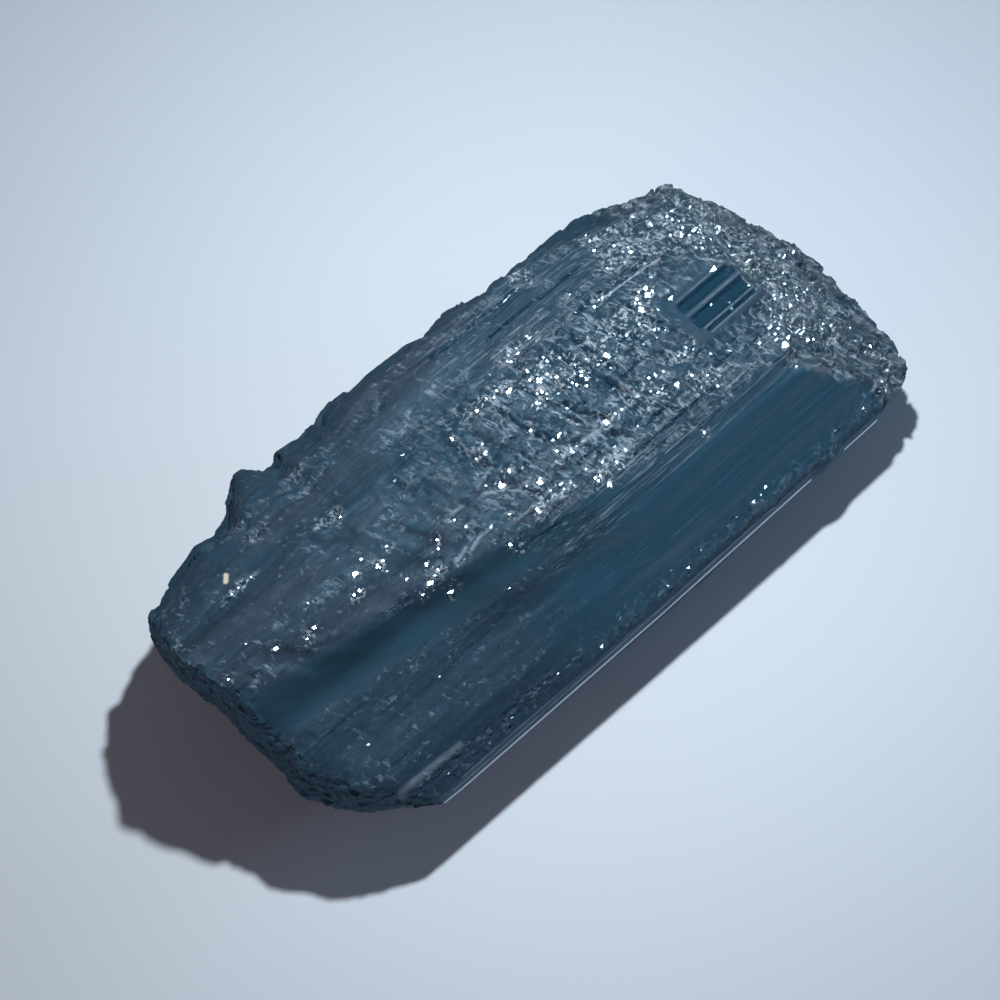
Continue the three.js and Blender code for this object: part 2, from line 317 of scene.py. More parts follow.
def within(value, band):
    """1 inside a band and 0 outside it. A band is (outer low, inner low, inner high, outer high)."""
    outer_low, inner_low, inner_high, outer_high = band
    return ramp(value, outer_high, inner_high) * ramp(value, outer_low, inner_low)


def along_line(points, x):
    """How far across a line of (x, y) points lies at each x."""
    return np.interp(x, [p[0] for p in points], [p[1] for p in points])


def dice(cells, seed):
    """One number from 0 to 1 for each whole-number cell."""
    x, y, z = cells.astype(np.int64).T
    mixed = (x * 73856093) ^ (y * 19349663) ^ (z * 83492791) ^ (seed * 2654435761)
    mixed = ((mixed ^ (mixed >> 13)) * 1274126177) & 0xFFFFFFFF
    mixed = ((mixed ^ (mixed >> 15)) * 2246822519) & 0xFFFFFFFF
    return ((mixed ^ (mixed >> 16)) & 0xFFFFFF) / 0xFFFFFF


def scaled(place, size, turn=0.0):
    """Places turned about Z and divided by a grain size in mm."""
    turn = math.radians(turn)
    x, y, z = place.T
    turned = np.stack([
        x * math.cos(turn) + y * math.sin(turn),
        y * math.cos(turn) - x * math.sin(turn),
        z,
    ], axis=1)
    return turned / np.array(size)


def grain(place, size, seed, octaves=3, turn=0.0):
    """Smooth noise, mostly from -1 to 1. Size is its grain along X, Y and Z in mm."""
    spot = scaled(place, size, turn)
    total, strength = np.zeros(len(place)), 1.0
    for octave in range(octaves):
        cells = np.floor(spot)
        part = spot - cells
        part = part * part * (3 - 2 * part)
        value = np.zeros(len(place))
        for corner in product((0, 1), repeat=3):
            weight = np.prod(np.where(np.array(corner) == 1, part, 1 - part), axis=1)
            value += weight * dice(cells + corner, seed + octave)
        total += strength * (2 * value - 1)
        strength *= 0.5
        spot = spot * 2.03 + 17.1
    return total


def flakes(place, size, seed, turn=0.0, ragged=0.25):
    """Heights of long plates that lie side by side, each at its own height and a little tilted."""
    spot = scaled(place, size, turn)
    for axis in range(3):
        spot[:, axis] += ragged * grain(place, np.array(size) * 1.7, seed + 20 + axis, octaves=2)
    row = np.floor(spot) * (0, 1, 1)
    spot[:, 0] += dice(row, seed + 5)
    cells = np.floor(spot)
    inside = spot - cells - 0.5
    tilt = np.stack([dice(cells, seed + 7), dice(cells, seed + 8), dice(cells, seed + 9)], axis=1) - 0.5
    return dice(cells, seed) - 0.5 + (inside * tilt).sum(axis=1)


def facets(place, size, seed, turn=0.0):
    """Heights of small flat facets, each leaning its own way."""
    spot = scaled(place, size, turn)
    base = np.floor(spot)
    nearest, height = np.full(len(place), 9.0), np.zeros(len(place))
    for shift in product((-1, 0, 1), repeat=3):
        cells = base + shift
        seat = cells + np.stack([dice(cells, seed + k) for k in range(3)], axis=1)
        lean = np.stack([dice(cells, seed + k) for k in range(3, 6)], axis=1) - 0.5
        away = spot - seat
        far = (away * away).sum(axis=1)
        closer = far < nearest
        nearest = np.where(closer, far, nearest)
        height = np.where(closer, (away * lean).sum(axis=1), height)
    return height


def terraces(value, count, riser=0.3):
    """Turns smooth values into flat treads with short risers."""
    steps = value * count
    step = np.floor(steps)
    return (step + ramp(steps - step, 1 - riser, 1.0)) / count


def from_line(line, x, y):
    """Distance from each place to a line of (x, y) points."""
    nearest = np.full(len(x), 99.0)
    for (x0, y0), (x1, y1) in zip(line, line[1:]):
        run = np.array([x1 - x0, y1 - y0])
        t = np.clip(((x - x0) * run[0] + (y - y0) * run[1]) / (run @ run), 0, 1)
        nearest = np.minimum(nearest, np.hypot(x - x0 - t * run[0], y - y0 - t * run[1]))
    return nearest


# ---------------------------------------------------------------- the skin and its zones


def spark_spots(x, y):
    """1 in the clusters of small mirror-like facets, 0 away from them."""
    near = np.zeros(len(x))
    for x0, y0, reach_x, reach_y, count in SPARKS:
        if reach_x < WIDE_CLUSTER:
            spread = np.hypot((x - x0) / (reach_x + 0.25), (y - y0) / (reach_y + 0.2))
            near = np.maximum(near, ramp(spread, 1.4, 0.7) * min(1, 0.4 + count / 8))
    for places in GLINTS.values():
        for x0, y0 in places:
            near = np.maximum(near, 0.8 * ramp(np.hypot(x - x0, y - y0), 0.6, 0.25))
    return near


def rough_spots(x, y):
    """1 in the small rough patches where the mirror-like facets are, 0 away from them."""
    rough = np.zeros(len(x))
    for x0, y0, reach_x, reach_y, count in SPARKS:
        if reach_x < WIDE_CLUSTER:
            spread = np.hypot((x - x0) / (reach_x + 0.5), (y - y0) / (reach_y + 0.4))
            rough = np.maximum(rough, ramp(spread, 1.5, 0.6) * min(1, 0.35 + count / 8))
    for x0, y0, reach_x, reach_y in WISPY:
        spread = np.hypot((x - x0) / (reach_x + 0.3), (y - y0) / (reach_y + 0.3))
        rough = np.maximum(rough, 0.6 * ramp(spread, 1.3, 0.5))
    return rough


class Skin:
    """Places (in mm) and outward directions of a mesh's vertices, and the stone's zones."""

    def __init__(self, stone):
        self.mesh = stone.data
        flat = np.empty(len(self.mesh.vertices) * 3, np.float32)
        self.mesh.vertices.foreach_get("co", flat)
        self.place = flat.reshape(-1, 3).astype(float) / MM
        self.mesh.vertices.foreach_get("normal", flat)
        self.out = flat.reshape(-1, 3).astype(float)

    def write(self):
        self.mesh.vertices.foreach_set("co", (self.place * MM).astype(np.float32).ravel())
        self.mesh.update()

    def zones(self):
        x, y, z = self.place.T
        out_x, _, out_z = self.out.T
        break_edge = along_line(BREAK_EDGE, y)
        right_break = ramp(x, break_edge - 0.2, break_edge + 0.7)
        left_break = ramp(x, -15, -19) * ramp(-out_x, 0.35, 0.60)
        sides = (1 - right_break) * (1 - left_break)
        layer = along_line(LAYER_EDGE, x)
        groove_foot = layer - along_line(GROOVE_WIDTH, x)
        high = ramp(out_z, *CROWN_SLOPE) * ramp(z, *CROWN_HEIGHT)
        crown = sides * high * ramp(y, layer - 0.2, layer + 0.5)
        groove = sides * ramp(z, 12.5, 14) * ramp(y, groove_foot - 0.7, groove_foot + 0.5)
        groove *= ramp(y, layer + 0.6, layer - 0.3)
        front = sides * ramp(y, groove_foot + 0.1, groove_foot - 0.5)
        front = front * ramp(z, 9.6, 10.4) * ramp(y, 4, 0)
        smooth = front * ramp(x, -12, -2) * ramp(y, -7.2, -8.6)
        (left, near), (right, far), _ = FLUTE_BLOCK
        block = ramp(x, left - 0.6, left) * ramp(x, right + 0.3, right) * ramp(y, near - 0.5, near)
        block *= ramp(y, far + 0.5, far)
        middle = ramp(x, -11, -3) * ramp(y, 6.6, 5.0) * (1 - block)
        rough = np.maximum(middle * 0.8, rough_spots(x, y) * (1 - block))
        return {
            "all": np.ones(len(x)),
            "block": block,
            "right_break": right_break,
            "left_break": left_break,
            "crown": crown,
            "rough": crown * rough,
            "striae": sides * ramp(z, 13, 15) * np.maximum(
                ramp(x, -7, -3) * ramp(y, -4.4, -5.4) * ramp(y, -8.8, -7.8),
                ramp(x, -4, 0) * ramp(y, 4.6, 5.6) * ramp(x, 21, 19),
            ),
            "middle": crown * middle * ramp(x, 19, 14),
            "groove": groove,
            "front": front,
            "smooth": smooth,
            "mottled": front - smooth,
            "strip": sides * within(z, STRIP_BAND) * ramp(y, -11.5, -12.5),
            "ticks": sides * within(z, TICKS_BAND) * ramp(y, -10.5, -11.5),
            "under": sides * ramp(z, 8.0, 6.5) * ramp(z, 0.1, 0.9),
            "back": sides * ramp(y, 7, 9) * ramp(z, 16.5, 14.5) * ramp(z, 0.1, 0.9),
        }


# ---------------------------------------------------------------- tools


def select_only(obj):
    bpy.ops.object.select_all(action="DESELECT")
    obj.select_set(True)
    bpy.context.view_layer.objects.active = obj


def finish_modifier(obj, modifier):
    select_only(obj)
    bpy.ops.object.modifier_apply(modifier=modifier.name)


def group_of(stone, name, weights):
    """A vertex group with weights in tenths."""
    group = stone.vertex_groups.new(name=name)
    tenths = np.rint(weights * 10)
    for step in range(1, 11):
        members = np.nonzero(tenths == step)[0].tolist()
        if members:
            group.add(members, step / 10, "REPLACE")


def even_out(stone, weights, rounds):
    """Smooths the mesh where the weights are high."""
    group_of(stone, "even", weights)
    smooth = stone.modifiers.new("even", "SMOOTH")
    smooth.factor = EVEN_SHARE
    smooth.iterations = rounds
    smooth.vertex_group = "even"
    finish_modifier(stone, smooth)
    stone.vertex_groups.clear()


def press(skin, low, high, level, rim=0.7):
    """Presses a rectangle of the crown level."""
    x, y, z = skin.place.T
    inside = ramp(x, low[0] - rim, low[0]) * ramp(x, high[0] + rim, high[0])
    inside *= ramp(y, low[1] - rim, low[1]) * ramp(y, high[1] + rim, high[1]) * ramp(z, 14, 15)
    skin.place[:, 2] += inside * (level - z)


def flute(skin, left, right, y0, width, depth):
    """Sinks a straight channel with square ends and a level floor."""
    x, y, z = skin.place.T
    ends = ramp(x, left - 0.12, left + 0.08) * ramp(x, right + 0.12, right - 0.08)
    floor = ends * ramp(np.abs(y - y0), width / 2, width / 2 - 0.22) * ramp(z, 14, 15)
    skin.place[:, 2] -= depth * floor


def furrow(skin, line, width, depth):
    """Sinks a rounded furrow along a line, or raises a ridge if the depth is below 0."""
    x, y, z = skin.place.T
    inside = ramp(from_line(line, x, y), width / 2, 0.12 * width) * ramp(z, *TOP_SIDE)
    skin.place[:, 2] -= depth * inside


def swell(skin, middle, radius, rise):
    """Swells the skin out round a place."""
    away = np.linalg.norm(skin.place - np.array(middle), axis=1) / radius
    skin.place += skin.out * (rise * ramp(away, 1, 0.15))[:, None]


def chip(stone, zone, count, radius, lean, bite, seed):
    """Breaks small flat facets into a zone. Lean is how far a facet may lean from the skin, and
    bite is how far it is sunk, as a part of its radius."""
    draw = np.random.default_rng(seed)
    skin = Skin(stone)
    weights = skin.zones()[zone]
    centres = draw.choice(len(weights), size=count, p=weights / weights.sum())
    tree = KDTree(len(skin.place))
    for i, place in enumerate(skin.place):
        tree.insert(place, i)
    tree.balance()
    for centre in centres:
        size = draw.uniform(*radius)
        facing = skin.out[centre] + draw.normal(0, lean, 3)
        facing /= np.linalg.norm(facing)
        near = tree.find_range(skin.place[centre], size)
        index = np.array([item[1] for item in near])
        if len(index) < FEWEST_CORNERS:
            continue
        reach = np.array([item[2] for item in near]) / size
        height = (skin.place[index] - skin.place[centre]) @ facing + bite * size
        cut = np.where(height > 0, height, FILL * height)
        cut *= 1 - np.clip((reach - FLAT_SHARE) / FADE_SHARE, 0, 1) ** 2
        skin.place[index] -= facing * cut[:, None]
    skin.write()


# ---------------------------------------------------------------- the stone


def make_stone():
    """A fine, even skin on a merged copy of the body, soft where the real faces are smooth."""
    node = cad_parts[NODE]
    stone = bpy.data.objects.new("schorl_stone", node.data.copy())
    bpy.context.scene.collection.objects.link(stone)
    stone.data.materials.clear()
    select_only(stone)
    bpy.ops.object.mode_set(mode="EDIT")
    bpy.ops.mesh.select_all(action="SELECT")
    bpy.ops.mesh.remove_doubles(threshold=WELD * MM)
    bpy.ops.mesh.normals_make_consistent(inside=False)
    bpy.ops.object.mode_set(mode="OBJECT")

    remesh = stone.modifiers.new("grain", "REMESH")
    remesh.mode = "VOXEL"
    remesh.voxel_size = VOXEL * MM
    finish_modifier(stone, remesh)
    smooth = stone.modifiers.new("ease", "SMOOTH")
    smooth.factor = EASE
    smooth.iterations = EASE_ROUNDS
    finish_modifier(stone, smooth)

    skin = Skin(stone)
    zones = skin.zones()
    even_out(stone, np.clip(zones["front"] + zones["groove"] + 0.6 * zones["crown"], 0, 1), EVEN_ROUNDS)
    x, y, z = skin.place.T
    step = ramp(np.abs(y - along_line(LAYER_EDGE, x) + 0.6), 2.6, 1.2) * ramp(x, 8, 2) * ramp(z, 12, 14)
    left_edge = ramp(x, -22.5, -25.0) * ramp(z, 4, 7) * ramp(z, 18.5, 16.0)
    even_out(stone, np.maximum(step, left_edge), SOFT_ROUNDS)
    return stone


def lay_relief(stone):
    """Swells, plates, ribs and pits, laid over the skin zone by zone."""
    skin = Skin(stone)
    zones = skin.zones()
    place = skin.place
    slant = grain(place, (1.1, 4.0, 3.0), 51, octaves=2, turn=24)
    patterns = {
        "broad": grain(place, (15, 3.6, 3.6), 50, octaves=2),
        "waves": grain(place, (5.0, 2.2, 2.2), 63, octaves=2),
        "lines": grain(place, (24, 0.42, 0.42), 64, octaves=2),
        "ripples": grain(place, (2.0, 1.3, 1.3), 65, octaves=3),
        "silk": grain(place, (40, 0.5, 0.4), 58, octaves=2),
        "cracks": np.clip(1 - np.abs(slant) / 0.24, 0, 1),
        "ribs": grain(place, (15, 0.62, 0.62), 52, octaves=3),
        "crests": 1 - 2 * np.abs(grain(place, (11, 0.95, 0.95), 53, octaves=2)),
        "plates": flakes(place, (8.0, 1.1, 1.2), 54),
        "slips": flakes(place, (2.6, 0.50, 0.55), 55),
        "slabs": flakes(place, (10, 1.5, 1.5), 59),
        "long_slabs": flakes(place, (13, 1.6, 1.4), 60),
        "grit": facets(place, (1.05, 0.70, 0.70), 56, turn=12),
        "dust": facets(place, (0.60, 0.42, 0.42), 57, turn=-20),
        "shells": terraces(grain(place, (2.6, 6.0, 2.6), 61, octaves=2, turn=-14), 4),
        "ledges": facets(place, (1.9, 2.3, 1.5), 62, turn=-20),
    }
    lift = np.zeros(len(place))
    for zone, pattern, depth in RELIEF:
        lift += zones[zone] * patterns[pattern] * depth
    for end, share in BREAK_SHARES:
        for pattern, depth in BREAK_RELIEF:
            lift += zones[end] * patterns[pattern] * (depth * share)
    skin.place += skin.out * lift[:, None]
    skin.write()


def cut_features(stone):
    """Flutes, furrows, ridges and swellings."""
    skin = Skin(stone)
    x, y, z = skin.place.T
    for x0, reach, shift in BACK_STEPS:
        step = shift * ramp(np.abs(x - x0), reach, 0.15 * reach)
        skin.place[:, 1] += step * ramp(y, 6, 10) * ramp(z, 5, 10)
    y0, reach, shift = LEFT_SWELL
    swelling = shift * ramp(np.abs(y - y0), reach, 0.2 * reach)
    skin.place[:, 0] += swelling * ramp(x, -21, -25) * ramp(z, 2, 7)
    press(skin, *FLUTE_BLOCK)
    for line, width, depth in FURROWS + HOLLOWS:
        furrow(skin, line, width, depth)
    for left, right, y0, width, depth in FLUTES:
        flute(skin, left, right, y0, width, depth)
    x, y, z = skin.place.T
    face = along_line(FOOT_STRIP, x) + FOOT_LEAN * (z - FOOT_HEIGHT)
    skin.place[:, 1] += skin.zones()["strip"] * ramp(x, -22, -19) * ramp(x, 26, 24) * (face - y)
    for middle, radius, rise in FOOT_BULGES:
        swell(skin, middle, radius, rise)
    for k in range(END_RIDGES):
        line = [(x + k * END_RIDGE_STEP[0], y + k * END_RIDGE_STEP[1]) for x, y in END_RIDGE]
        furrow(skin, line, *END_RIDGE_SIZE)
    for line, width, rise in RIDGES:
        furrow(skin, line, width, -rise)
    skin.write()


def calm_places(skin):
    """How smooth and dark each place is, from 0 to 1: flute floors and furrows."""
    x, y, z = skin.place.T
    top = ramp(z, 12, 14)
    calm = np.zeros(len(x))
    for left, right, y0, width, _ in FLUTES:
        floor = top * ramp(np.abs(y - y0), width / 2 + 0.05, width / 2 - 0.1)
        floor = floor * ramp(x, left - 0.1, left + 0.1) * ramp(x, right + 0.1, right - 0.1)
        calm = np.maximum(calm, floor)
    for line, width, _ in FURROWS:
        calm = np.maximum(calm, 0.55 * top * ramp(from_line(line, x, y), 0.5 * width, 0.3 * width))
    return calm


def settle(stone):
    """Keeps the stone on the table and inside its box, and thins the mesh."""
    triangles = sum(len(face.vertices) - 2 for face in stone.data.polygons)
    skin = Skin(stone)
    z = skin.place[:, 2]
    weight = THIN_ANYWHERE + THIN_UNDERSIDE * ramp(z, *UNDERSIDE)
    weight += THIN_REST_FACE * ramp(z, *REST_FACE)
    group_of(stone, "coarse", weight)
    thin = stone.modifiers.new("thin", "DECIMATE")
    thin.ratio = min(1.0, TRIANGLE_LIMIT / triangles)
    thin.vertex_group = "coarse"
    thin.vertex_group_factor = THIN_PREFERENCE
    finish_modifier(stone, thin)
    stone.vertex_groups.clear()
    skin = Skin(stone)
    skin.place = np.clip(skin.place, np.array(BOX_LOW) / MM, np.array(BOX_HIGH) / MM)
    skin.write()
    select_only(stone)
    bpy.ops.object.shade_smooth_by_angle(angle=SHARP_EDGE)


def set_sparks(stone):
    """Turns small groups of faces so that they catch the key light, and marks them."""
    draw = np.random.default_rng(12)
    mesh = stone.data
    skin = Skin(stone)
    middles = np.array([face.center for face in mesh.polygons]) / MM
    facing = np.array([face.normal for face in mesh.polygons])
    to_key = np.array(KEY_PLACE) - middles
    to_eye = np.array(camera_place()) / MM - middles
    glance = to_key / np.linalg.norm(to_key, axis=1)[:, None]
    glance = glance + to_eye / np.linalg.norm(to_eye, axis=1)[:, None]
    glance /= np.linalg.norm(glance, axis=1)[:, None]
    able = (facing * glance).sum(axis=1)
    marks = np.zeros(len(middles), np.float32)
    tree = KDTree(len(middles))
    for i, middle in enumerate(middles):
        tree.insert(middle, i)
    tree.balance()

    def turn(face, radius, jitter, shine):
        """Flattens the faces round one so that they mirror the lamp, and marks how they shine."""
        group = [item[1] for item in tree.find_range(middles[face], radius)]
        target = glance[face] + draw.normal(0, jitter, 3)
        corners = np.array(sorted({v for i in group for v in mesh.polygons[i].vertices}))
        height = (skin.place[corners] - middles[face]) @ target
        skin.place[corners] -= target * height[:, None]
        marks[group] = shine

    for x0, y0, reach_x, reach_y, count in SPARKS:
        spread = ((middles[:, 0] - x0) / reach_x) ** 2 + ((middles[:, 1] - y0) / reach_y) ** 2
        near = (spread < SPARK_REACH) & (able > SPARK_ABLE) & (middles[:, 2] > SPARK_FLOOR)
        chosen = np.nonzero(near)[0]
        for face in draw.choice(chosen, size=min(count, len(chosen)), replace=False):
            lean = draw.choice(SPARK_LEANS)
            radius = draw.choice(SPARK_SIZES, p=SPARK_SHARES)
            turn(face, radius, lean, draw.uniform(*SPARK_SHINE))
    for radius, places in GLINTS.items():
        for x0, y0 in places:
            away = np.hypot(middles[:, 0] - x0, middles[:, 1] - y0) + 9 * (middles[:, 2] < 9)
            size = radius * draw.uniform(*GLINT_RANGE)
            turn(int(np.argmin(away)), size, GLINT_LEAN, draw.uniform(*GLINT_RANGE))
    skin.write()
    mesh.attributes.new("spark", "FLOAT", "FACE").data.foreach_set("value", marks)
    shading = np.zeros(len(marks), bool)
    mesh.polygons.foreach_get("use_smooth", shading)
    mesh.polygons.foreach_set("use_smooth", shading & (marks == 0))
    mesh.update()


def mark_finish(stone):
    """Stores the zones that the stone's finish reads."""
    skin = Skin(stone)
    zones = skin.zones()
    x, y, z = skin.place.T
    # Where the painted highlight goes along the raised ridges
    ridge_highlights = np.zeros(len(x))
    for line, width, _ in RIDGES:
        ridge_highlights = np.maximum(ridge_highlights, ramp(from_line(line, x, y), 0.5 * width, 0.15 * width))
    ridge_highlights *= ramp(z, *TOP_SIDE)
    left_end = zones["left_break"]
    frayed = x + 0.9 * grain(skin.place, (1.1, 2.0, 1.4), 70)
    right_end = ramp(frayed, along_line(BREAK_EDGE, y) - 0.8, along_line(BREAK_EDGE, y) + 1.0)
    layer = along_line(LAYER_EDGE, x)
    groove_foot = layer - along_line(GROOVE_WIDTH, x)
    band = ramp(y, groove_foot - 0.7, groove_foot + 0.5) * ramp(y, layer + 0.6, layer - 0.3)
    matt_crown = zones["crown"] * (1 - 0.8 * zones["block"])
    # The near mark says where painted highlight halos go round the glints
    marks = {
        "calm": calm_places(skin),
        "smooth": zones["smooth"],
        "strip": zones["strip"],
        "broken": np.clip(right_end + left_end * 0.25, 0, 1),
        "lively": zones["rough"],
        "near": spark_spots(x, y) * ramp(z, *TOP_SIDE) * (1 - zones["block"]),
        "ticks": zones["ticks"],
        "striae": zones["striae"],
        "left_end": left_end,
        # where the groove's painted shade goes, on over the left end
        "groove": (zones["groove"] + left_end * band) * ramp(x, 12, 0),
        "ridge_highlight": ridge_highlights,
        "crown": matt_crown + left_end * ramp(y, layer - 0.2, layer + 0.5),
        "mottled": zones["mottled"] + left_end * ramp(y, groove_foot + 0.1, groove_foot - 0.5),
    }
    for name, values in marks.items():
        mark = stone.data.attributes.new(name, "FLOAT", "POINT")
        mark.data.foreach_set("value", values.astype(np.float32))


# ---------------------------------------------------------------- finishes


class Recipe:
    """A node material under construction."""

    def __init__(self, name):
        self.material = bpy.data.materials.new(name)
        self.material.use_nodes = True
        self.tree = self.material.node_tree
        self.tree.nodes.clear()
        self.output = self.add("ShaderNodeOutputMaterial")
        self.shader = self.add("ShaderNodeBsdfPrincipled")
        self.link(self.shader.outputs["BSDF"], self.output.inputs["Surface"])
        self.place = self.add("ShaderNodeTexCoord").outputs["Object"]

    def add(self, kind, **settings):
        node = self.tree.nodes.new(kind)
        for key, value in settings.items():
            setattr(node, key, value)
        return node

    def link(self, source, target):
        self.tree.links.new(source, target)

    def feed(self, socket, value):
        if isinstance(value, bpy.types.NodeSocket):
            self.link(value, socket)
        else:
            socket.default_value = value

    def math(self, operation, first, second=0.0, third=0.0, clamp=False):
        node = self.add("ShaderNodeMath", operation=operation, use_clamp=clamp)
        self.feed(node.inputs[0], first)
        self.feed(node.inputs[1], second)
        self.feed(node.inputs[2], third)
        return node.outputs[0]

    def both(self, first, second):
        """High where both are high."""
        return self.math("MULTIPLY", first, second)

    def either(self, first, *others):
        """The highest of them."""
        for other in others:
            first = self.math("MAXIMUM", first, other)
        return first

    def vector(self, operation, first, second):
        node = self.add("ShaderNodeVectorMath", operation=operation)
        self.feed(node.inputs[0], first)
        self.feed(node.inputs[1], second)
        return node.outputs["Value" if operation in ("DOT_PRODUCT", "LENGTH") else "Vector"]

    def stretch(self, size, turn=(0, 0, 0)):
        """Object coordinates divided by a grain size in mm along X, Y and Z."""
        node = self.add("ShaderNodeMapping", vector_type="TEXTURE")
        self.link(self.place, node.inputs["Vector"])
        node.inputs["Rotation"].default_value = [math.radians(angle) for angle in turn]
        node.inputs["Scale"].default_value = [edge * MM for edge in size]
        return node.outputs["Vector"]

    def noise(self, size, detail=3.0, rough=0.55, turn=(0, 0, 0), curl=0.0):
        """Smooth noise from 0 to 1, with its grain size in mm."""
        node = self.add("ShaderNodeTexNoise")
        node.inputs["Distortion"].default_value = curl
        self.link(self.stretch(size, turn), node.inputs["Vector"])
        node.inputs["Scale"].default_value = 1.0
        node.inputs["Detail"].default_value = detail
        node.inputs["Roughness"].default_value = rough
        return node.outputs["Fac"]

    def spread(self, value, low, high, to_low=0.0, to_high=1.0):
        """Spreads values from low to high over a new range, and holds them inside it."""
        node = self.add("ShaderNodeMapRange", clamp=True)
        self.feed(node.inputs["Value"], value)
        limits = {"From Min": low, "From Max": high, "To Min": to_low, "To Max": to_high}
        for socket, number in limits.items():
            self.feed(node.inputs[socket], number)
        return node.outputs["Result"]

    def mix(self, amount, first, second):
        node = self.add("ShaderNodeMix", data_type="RGBA")
        self.feed(node.inputs["Factor"], amount)
        self.feed(node.inputs[6], first)
        self.feed(node.inputs[7], second)
        return node.outputs[2]

    def blend(self, amount, first, second):
        """Between two numbers."""
        node = self.add("ShaderNodeMix", data_type="FLOAT")
        self.feed(node.inputs[0], amount)
        self.feed(node.inputs[2], first)
        self.feed(node.inputs[3], second)
        return node.outputs[0]

    def zone(self, name):
        return self.add("ShaderNodeAttribute", attribute_name=name).outputs["Fac"]

    def facets(self, size, turn=(0, 0, 0)):
        """Small flat facets, each leaning its own way: their height, and a number for each."""
        place = self.stretch(size, turn)
        cells = self.add("ShaderNodeTexVoronoi", feature="F1")
        self.link(place, cells.inputs["Vector"])
        cells.inputs["Scale"].default_value = 1.0
        away = self.vector("SUBTRACT", place, cells.outputs["Position"])
        lean = self.vector("SUBTRACT", cells.outputs["Color"], (0.5, 0.5, 0.5))
        number = self.add("ShaderNodeTexWhiteNoise", noise_dimensions="3D")
        self.link(cells.outputs["Color"], number.inputs["Vector"])
        return self.vector("DOT_PRODUCT", away, lean), number.outputs["Value"]

    def plates(self, size, turn, width):
        """Bent plates side by side: the thin seams between them, and a number for each."""
        place = self.stretch(size, turn)
        bend = self.add("ShaderNodeTexNoise")
        self.link(place, bend.inputs["Vector"])
        bend.inputs["Scale"].default_value = 1.1
        sway = self.vector("SUBTRACT", bend.outputs["Color"], (0.5, 0.5, 0.5))
        place = self.vector("ADD", place, self.vector("MULTIPLY", sway, (1.6, 1.6, 1.6)))
        seams = self.add("ShaderNodeTexVoronoi", feature="DISTANCE_TO_EDGE")
        cells = self.add("ShaderNodeTexVoronoi", feature="F1")
        for node in (seams, cells):
            self.link(place, node.inputs["Vector"])
            node.inputs["Scale"].default_value = 1.0
        number = self.vector("DOT_PRODUCT", cells.outputs["Color"], (0.34, 0.33, 0.33))
        return self.spread(seams.outputs["Distance"], width, 0.3 * width), number

    def stroke(self, start, end, width, keep):
        """A straight hairline between two places in mm. Keep says which axes count."""
        run = [(b - a) * k for a, b, k in zip(start, end, keep)]
        size = sum(step * step for step in run)
        away = self.vector("SUBTRACT", self.place, [step * MM for step in start])
        away = self.vector("MULTIPLY", away, keep)
        part = self.vector("DOT_PRODUCT", away, [step / size / MM for step in run])
        part = self.math("MULTIPLY", part, 1.0, clamp=True)
        nearest = self.add("ShaderNodeVectorMath", operation="SCALE")
        nearest.inputs[0].default_value = [step * MM for step in run]
        self.link(part, nearest.inputs["Scale"])
        gap = self.vector("LENGTH", self.vector("SUBTRACT", away, nearest.outputs["Vector"]), (0, 0, 0))
        return self.spread(gap, 0.5 * width * MM, 0.2 * width * MM)

    def bump(self, height, depth, strength=1.0, below=None):
        """Depth is in mm."""
        node = self.add("ShaderNodeBump")
        self.link(height, node.inputs["Height"])
        node.inputs["Distance"].default_value = depth * MM
        self.feed(node.inputs["Strength"], strength)
        if below is not None:
            self.link(below, node.inputs["Normal"])
        return node.outputs["Normal"]


# The stone's colours: its smooth faces, its etched and hazed skin, the pale wisps, the pale of painted
# highlights on edges, a painted reflection under the narrow strip, painted halos round the glints, the
# grey break, the painted shade of the groove, the painted cool shade of the left end and the cream fleck
INK = (0.009, 0.036, 0.066, 1)
TEAL = (0.020, 0.066, 0.112, 1)
SLATE = (0.0145, 0.0355, 0.065, 1)
PLUM = (0.0155, 0.0275, 0.048, 1)
BLOOM = (0.150, 0.220, 0.300, 1)
PALE = (0.240, 0.310, 0.390, 1)
# painted highlight halos round the glints
GLINT_HALO = (0.400, 0.490, 0.550, 1)
# painted reflection of the lit table, for the bright line under the narrow strip
REFLECTED_TABLE_TONE = (0.820, 0.880, 0.940, 1)
GREY = (0.034, 0.060, 0.078, 1)
# painted shade of the groove
GROOVE_SHADE = (0.008, 0.040, 0.070, 1)
# painted cool shade of the left end
LEFT_END_SHADE = (0.008, 0.082, 0.150, 1)
CREAM = (0.560, 0.540, 0.420, 1)

# Roughness of each kind of skin
ETCHED = (0.72, 0.86)        # the matt crown, least and most
DULL = 0.90                  # the groove and the left end
SATIN = 0.30                 # the smooth front face
GLASSY = 0.09                # flute and furrow floors
FACET_GLOSS = (0.42, 0.19)   # small facets, from satin to mirror
GLINT_GLOSS = (0.30, 0.17)   # the brightest facets
PAINTED_LINE_GLOSS = 0.40                  # painted highlight lines and the painted reflection edge

# How strongly the stone bends light, and the tint of its reflections
REFRACTION = 1.62
TINT = (0.50, 0.72, 0.92, 1)

ABOVE = (1, 1, 0)    # a hairline on the crown: height doesn't count
AHEAD = (1, 0, 1)    # a hairline on the front: depth doesn't count

